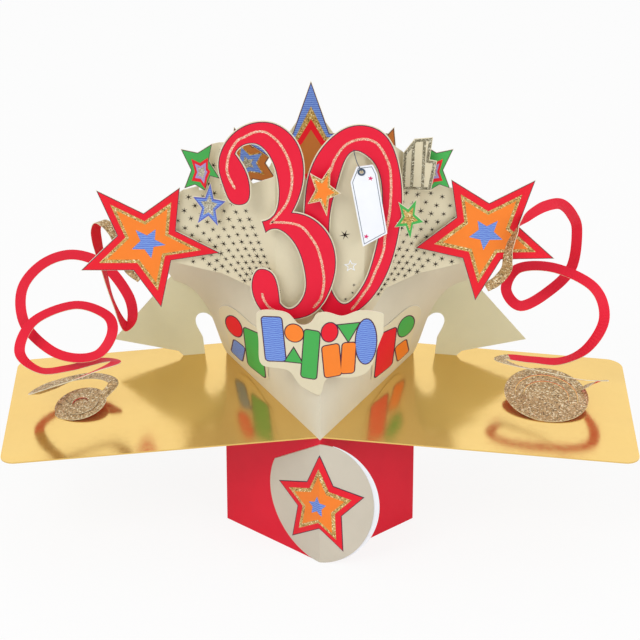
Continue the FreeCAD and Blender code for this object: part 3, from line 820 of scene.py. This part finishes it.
star_on_seal = [seal_spot(u, v) for u, v in (
    (320.0, 454.8), (307.7, 480.9), (279.6, 479.6), (298.3, 505.0), (293.0, 535.1),
    (319.8, 528.4), (343.5, 551.2), (341.9, 515.7), (364.6, 497.0), (333.6, 485.6))]
bend = [("x", 0), ("x", -SEAL_ROUNDING), ("x", SEAL_ROUNDING)]
bm = bmesh.new()
for level, share in enumerate((1.0, 0.965, 0.73, 0.58, 0.2)):
    slab(bm, [shrunk(star_on_seal, share)], over(on_seal, level), level, cuts=bend)
piece("seal_print", bm, [dark, red, gold, orange, blue])


# Paper spirals: crimson on one side, glitter on the other. Each row of a route is a place
# (sideways, depth, rise over the deck) and the way that the ribbon's face looks (tilt, turn).
left_route = [
    (-124, 61, -7.7, 12, -40), (-117, 70, -1.5, 8, 0), (-131, 82, -4, 4, 0), (-152, 74, -5, -8, 0),
    (-161, 58, -3, -20, 0), (-146, 41, 11, -27, 0), (-126, 45, 18, -27, 0), (-114, 55, 19, -12, 0),
    (-124, 64, 15, 4, 0), (-141, 57, 14, 8, 0), (-156, 49, 17, 12, 0), (-167, 52, 27, 18, 0),
    (-160, 68, 38, 22, 0), (-138, 80, 42, 22, 0), (-120, 74, 39, 24, 0), (-116, 64, 33, 26, 0),
    (-123, 56, 24, 28, 0), (-137, 58, 20, 30, 0), (-152, 65, 22, 32, 0), (-166, 75, 33, 34, 0),
    (-168, 90, 47, 36, 0), (-157, 102, 57, 38, 0), (-140, 106, 61, 42, 0), (-122, 102, 56, 46, 0),
    (-109, 94, 42, 60, 10), (-106, 86, 32, 75, 20), (-110, 80, 29, 90, 70), (-116, 77, 46, 90, 90),
    (-120, 74, 66, 90, 75), (-122, 70, 80, 90, 45), (-123, 66, 90, 95, 30), (-123, 63, 97, 115, 30),
    (-121, 60, 103, 165, 30), (-117, 57, 103, 215, 30), (-113, 54, 100, 245, 30), (-110, 51.5, 95, 262, 20),
    (-107, 50, 86, 270, 10), (-104, 49.4, 79, 270, 0), (-98, 48.9, 74, 270, 0)]
right_route = [
    (149, 75, -8.15, 12, 30), (158, 68, 0, -10, 0), (158, 59, 5, -24, 0), (145, 54, 8.5, -27, 0),
    (127, 56, 12, -27, 0), (110, 60, 14, -24, 0), (101, 68, 14, -10, 0), (107, 76, 11, 4, 0),
    (120, 73, 11, 10, 0), (136, 67, 13.5, 20, 0), (150, 60, 26, 34, 0), (158, 60, 44, 44, 0),
    (152, 66, 60, 42, 0), (131, 74, 68, 36, 0), (111, 80, 65, 38, 0), (104, 76, 54, 46, 0),
    (112, 70, 46.5, 50, 0), (128, 79, 51, 52, 0), (141, 87, 62, 60, 0), (143, 84, 86, 70, 0),
    (139, 76, 100, 68, 0), (132, 68, 110, 66, 0), (123, 58, 113.4, 66, 20), (115, 50, 112.7, 76, 50),
    (109, 45, 109.3, 86, 80), (106, 43.4, 103.6, 90, 100), (103, 43.4, 95.8, 90, 120),
    (102.2, 43.6, 88.5, 90, 145), (102, 45.4, 82, 90, 165), (100, 48.2, 76.5, 90, 175),
    (96, 49, 71.5, 90, 180), (91, 49, 68.6, 90, 180)]


CRIMSON_SIDE, GLITTER_SIDE, CUT_EDGE = 0, 1, 2


def facing_way(tilt, turn):
    """The way a face looks: tilt is from straight up to the reader, turn is about the upright."""
    a, b = math.radians(tilt), math.radians(turn)
    return Vector((math.sin(a) * math.sin(b), -math.sin(a) * math.cos(b), math.cos(a)))


def ribbon(bm, route, glitter_up):
    """Ribbon along a route; its first spans, as many as glitter_up says, have the glitter on top."""
    line = smooth_line([(*row[:2], DECK + row[2]) for row in route], RIBBON_STEPS)
    rows = []
    for k, point in enumerate(line):
        i = min(k // RIBBON_STEPS, len(route) - 2)
        share = (k - i * RIBBON_STEPS) / RIBBON_STEPS
        ease = share * share * (3 - 2 * share)
        way = line[min(k + 1, len(line) - 1)] - line[max(k - 1, 0)]
        way.normalize()
        out = facing_way(*route[i][3:]).lerp(facing_way(*route[i + 1][3:]), ease)
        across = way.cross(out).normalized()
        out = across.cross(way).normalized()
        half = across * (RIBBON_WIDTH / 2)
        skin = out * (RIBBON_CARD / 2)
        corners = (half + skin, half - skin, -half - skin, skin - half)
        rows.append([bm.verts.new(place(*(point + c))) for c in corners])
    for k, (a, b) in enumerate(zip(rows, rows[1:])):
        under, top = CRIMSON_SIDE, GLITTER_SIDE
        if k >= glitter_up * RIBBON_STEPS:
            under, top = top, under
        for n, slot in enumerate((CUT_EDGE, under, CUT_EDGE, top)):
            m = (n + 1) % 4
            bm.faces.new((a[n], a[m], b[m], b[n])).material_index = slot
    for row in (rows[0], rows[-1][::-1]):
        bm.faces.new(row).material_index = CUT_EDGE


def paper_disc(bm, centre, radius, tilt, turn, inner=0.0):
    """Flat round or ring-shaped disc, glitter above and crimson below; a ring's inner cut edge is crimson
    too, painted shade for the dark red gaps between the rings.
    """
    cx, cy, rise = centre
    a, b = math.radians(tilt), math.radians(turn)
    count = 64

    def at(r, k, lift):
        t = 2 * math.pi * k / count
        x, y, z = r * math.cos(t), r * math.sin(t), lift
        y, z = y * math.cos(a) - z * math.sin(a), y * math.sin(a) + z * math.cos(a)
        x, y = x * math.cos(b) - y * math.sin(b), x * math.sin(b) + y * math.cos(b)
        return place(cx + x, cy + y, DECK + rise + z)

    rings = []
    for lift, r in ((0.0, inner), (0.0, radius), (RIBBON_CARD, radius), (RIBBON_CARD, inner)):
        if r > 0:
            rings.append([bm.verts.new(at(r, k, lift)) for k in range(count)])
        else:
            rings.append([bm.verts.new(at(0, 0, lift))] * count)
    # A ring's inner cut edge takes the crimson card, painted shade for the dark red gaps of the spiral's
    # cuts; the outer edge takes the pale cut edge.
    for n, slot in enumerate((CRIMSON_SIDE, CUT_EDGE, GLITTER_SIDE, CRIMSON_SIDE)):
        first, second = rings[n], rings[(n + 1) % 4]
        for k in range(count):
            m = (k + 1) % count
            corners = []
            for vert in (first[k], first[m], second[m], second[k]):
                if vert not in corners:
                    corners.append(vert)
            if len(corners) > 2:
                bm.faces.new(corners).material_index = slot


def spiral(name, route, glitter_up, discs):
    bm = bmesh.new()
    ribbon(bm, route, glitter_up)
    for disc in discs:
        paper_disc(bm, *disc)
    bmesh.ops.recalc_face_normals(bm, faces=bm.faces)
    return piece(name, bm, [crimson, deep_gold, cream])


# The last disc of each lies on the board, which falls by board_fall for each millimetre sideways
board_fall = math.tan(math.radians(DROOP))
left_spiral = spiral("spiral_left_paper", left_route, 4, [
    ((-135.0, 60.0, -10.4), 15.0, 14.0, -60.0),
    ((-135.0, 60.0, -9.7), 10.6, 14.0, -60.0, 4.6),
    ((-140.0, 57.0, -140.0 * board_fall), 9.5, DROOP, 270.0)])
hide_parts("spiral_left")
right_spiral = spiral("spiral_right_paper", right_route, 7, [
    ((128.0, 66.0, -7.8), 24.0, 12.0, 30.0, 17.9),
    ((127.95, 65.8, -8.2), 17.6, 12.0, 30.0, 12.9),
    ((127.9, 65.65, -8.5), 12.6, 12.0, 30.0),
    ((125.0, 53.0, -125.0 * board_fall), 10.0, DROOP, 90.0)])
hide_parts("spiral_right")


# Floor, light and camera
def shown_rays(tree):
    """1 for rays from the camera and from mirrors or glass, which see the white background."""
    path = tree.nodes.new("ShaderNodeLightPath")
    total = path.outputs["Is Camera Ray"]
    for kind in ("Is Glossy Ray", "Is Transmission Ray"):
        both = add(tree, "ShaderNodeMath", operation="MAXIMUM")
        tree.links.new(total, both.inputs[0])
        tree.links.new(path.outputs[kind], both.inputs[1])
        total = both.outputs[0]
    return total


def white_over(tree, usual, glow, share, output):
    """Show the glow instead of the usual shader to the shown rays, by the share."""
    part = add(tree, "ShaderNodeMath", operation="MULTIPLY")
    part.inputs[1].default_value = share
    blend = tree.nodes.new("ShaderNodeMixShader")
    tree.links.new(shown_rays(tree), part.inputs[0])
    tree.links.new(part.outputs[0], blend.inputs[0])
    tree.links.new(usual.outputs[0], blend.inputs[1])
    tree.links.new(glow.outputs[0], blend.inputs[2])
    tree.links.new(blend.outputs[0], tree.nodes[output].inputs["Surface"])


# Metres from here on: the floor's half side and how far it lies under the part's foot
FLOOR_HALF = 6
FLOOR_DROP = 0.0002
floor_mesh = bpy.data.meshes.new("floor")
floor_mesh.from_pydata([(x * FLOOR_HALF, y * FLOOR_HALF, -FLOOR_DROP)
                        for x, y in ((-1, -1), (1, -1), (1, 1), (-1, 1))], [], [(0, 1, 2, 3)])
floor = bpy.data.objects.new("floor", floor_mesh)
bpy.context.scene.collection.objects.link(floor)
floor_material, tree, shader = new_material("pale_floor")
shader.inputs["Roughness"].default_value = 0.9
shader.inputs["Specular IOR Level"].default_value = 0.0
grain = noise(tree, coordinates(tree), 30)
tree.links.new(ramp(tree, grain.outputs["Fac"], [(0.0, (0.86, 0.86, 0.86)), (1.0, (0.9, 0.9, 0.9))]),
               shader.inputs["Base Color"])
white_over(tree, shader, add(tree, "ShaderNodeEmission", Strength=1.0), 0.88, "Material Output")
floor_mesh.materials.append(floor_material)

scene = bpy.context.scene
scene.view_settings.view_transform = "Standard"
world = bpy.data.worlds.new("studio")
scene.world = world
world.use_nodes = True
tree = world.node_tree
sky = tree.nodes["Background"]
sky.inputs["Strength"].default_value = 0.72
sky.inputs["Color"].default_value = (1, 1, 1, 1)
backing = add(tree, "ShaderNodeBackground", Strength=1.0)
backing.inputs["Color"].default_value = (1, 1, 1, 1)
white_over(tree, sky, backing, 1.0, "World Output")


def softbox(name, where, size, power):
    light = bpy.data.lights.new(name, "AREA")
    light.shape = "RECTANGLE"
    light.size, light.size_y = size
    light.energy = power
    made = bpy.data.objects.new(name, light)
    made.location = where
    made.rotation_euler = (Vector((0, 0, 0.1)) - Vector(where)).to_track_quat("-Z", "Y").to_euler()
    scene.collection.objects.link(made)


softbox("key", (-0.9, -1.1, 1.3), (0.8, 0.8), 10)
softbox("fill", (1.2, -0.9, 0.8), (0.9, 0.9), 6)
softbox("back", (0.1, 1.5, 1.1), (1.6, 0.7), 0.9)

camera_data = bpy.data.cameras.new("camera")
camera_data.sensor_width = SENSOR
camera_data.lens = SENSOR * FOCAL / (2 * PICTURE_HALF)
camera = bpy.data.objects.new("camera", camera_data)
camera.location = place(0, AXIS_RISE * math.sin(TILT) - AXIS_LENGTH * math.cos(TILT),
                        AXIS_LENGTH * math.sin(TILT) + AXIS_RISE * math.cos(TILT) + RAISED)
camera.rotation_euler = (math.pi / 2 - TILT, 0, 0)
scene.collection.objects.link(camera)
scene.camera = camera
